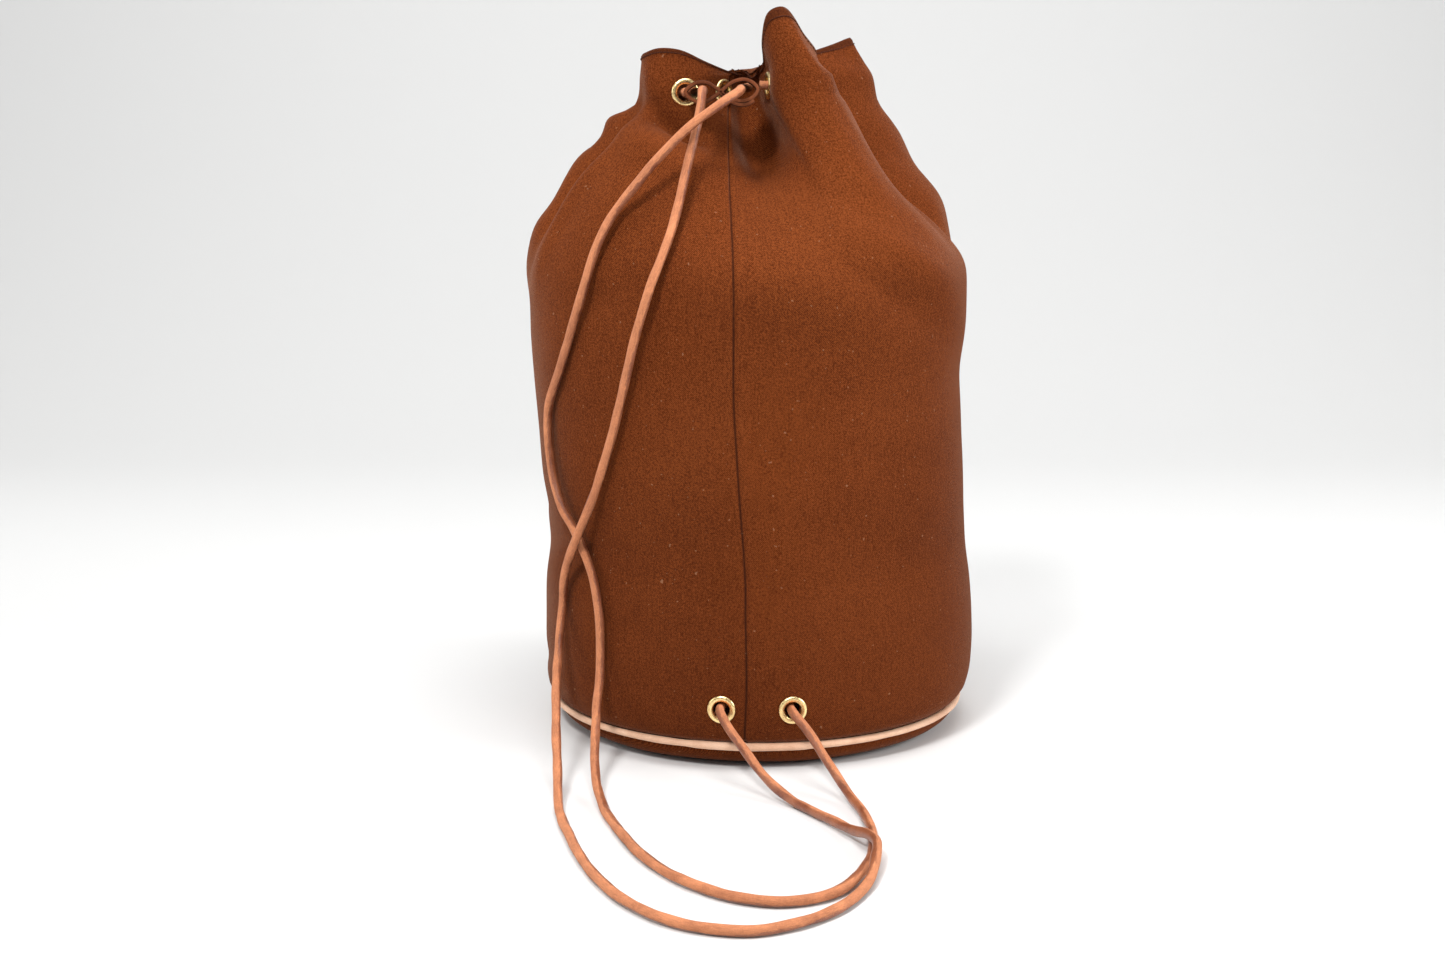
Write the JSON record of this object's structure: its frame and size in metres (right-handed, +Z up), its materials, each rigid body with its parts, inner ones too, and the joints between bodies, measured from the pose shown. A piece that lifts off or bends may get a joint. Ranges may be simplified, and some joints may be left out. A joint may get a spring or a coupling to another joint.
{
  "type": "drawstring bucket bag",
  "caption": "Round canvas bucket bag with leather piping, gathered by one leather drawcord that runs through brass eyelets and a slider and doubles as the strap.",
  "frame": {"origin": "middle of the flat base, on the surface that the bag stands on", "axes": "+Z up towards the mouth, -Y to the front where the seam, the lower eyelets and the cord are, +X to the right seen from the front"},
  "size_m": [0.2601, 0.4777, 0.412],
  "materials": {
    "canvas": "tight brown cotton twill",
    "canvas_tape": "brown cotton tape",
    "piping_leather": "natural vegetable-tanned leather",
    "cord_leather": "round tan leather cord, fuzzy flesh side and burnished grain side",
    "cotton_string": "plain cotton string",
    "slider_cloth": "brown strip with raw paler edges",
    "thread": "dark brown polyester thread",
    "brass": "polished pale gold brass"
  },
  "bodies": {
    "bag": {"wall_canvas": "canvas", "mouth_facing": "canvas_tape", "seam_binding": "canvas_tape", "base_canvas": "canvas", "piping_cover": "piping_leather", "piping_core": "cotton_string", "base_binding": "canvas_tape", "eyelet_patch": "canvas", "neck_eyelets": "brass", "neck_washers": "brass", "lower_eyelet_left": "brass", "lower_eyelet_right": "brass", "lower_washer_left": "brass", "lower_washer_right": "brass", "neck_cord": "cord_leather", "cord_left": "cord_leather", "cord_right": "cord_leather", "knot_left": "cord_leather", "knot_right": "cord_leather"},
    "slider": {"slider_strip": "slider_cloth", "slider_stitching": "thread"}
  },
  "joints": [
    {"name": "slider_slide", "type": "slide", "parent": "bag", "child": "slider", "axis": [0, -1, 0], "range_m": [0, 0.008]}
  ]
}
